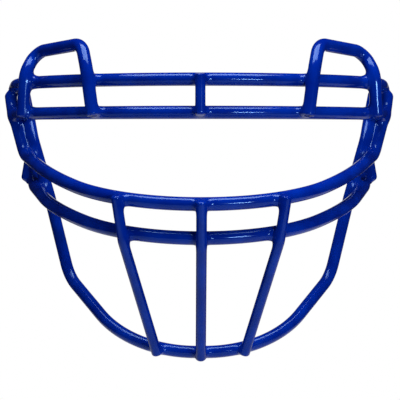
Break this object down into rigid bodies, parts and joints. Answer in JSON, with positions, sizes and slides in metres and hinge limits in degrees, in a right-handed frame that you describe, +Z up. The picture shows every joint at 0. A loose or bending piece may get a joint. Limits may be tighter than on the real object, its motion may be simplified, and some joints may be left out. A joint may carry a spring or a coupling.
{
  "type": "football helmet facemask",
  "caption": "Welded wire cage that guards the face below a sports helmet, with brow bars, mouth bars, chin grille, corner hoops and side loops.",
  "frame": {"origin": "middle of the cage's bounding box", "axes": "+X to the right of someone who looks at the front, +Y from the front to the rear, +Z up"},
  "size_m": [0.2484, 0.1452, 0.1869],
  "materials": {
    "blue_coating": "gloss royal blue polymer coating on steel wire"
  },
  "bodies": {
    "root": {"upper_brow_bar": "blue_coating", "lower_brow_bar": "blue_coating", "brow_strut": "blue_coating", "left_corner_hoop": "blue_coating", "right_corner_hoop": "blue_coating", "side_and_chin_wire": "blue_coating", "upper_mouth_bar": "blue_coating", "lower_mouth_bar": "blue_coating", "centre_vertical_bar": "blue_coating", "left_vertical_bar": "blue_coating", "right_vertical_bar": "blue_coating", "left_jaw_strut": "blue_coating", "right_jaw_strut": "blue_coating"}
  },
  "joints": []
}
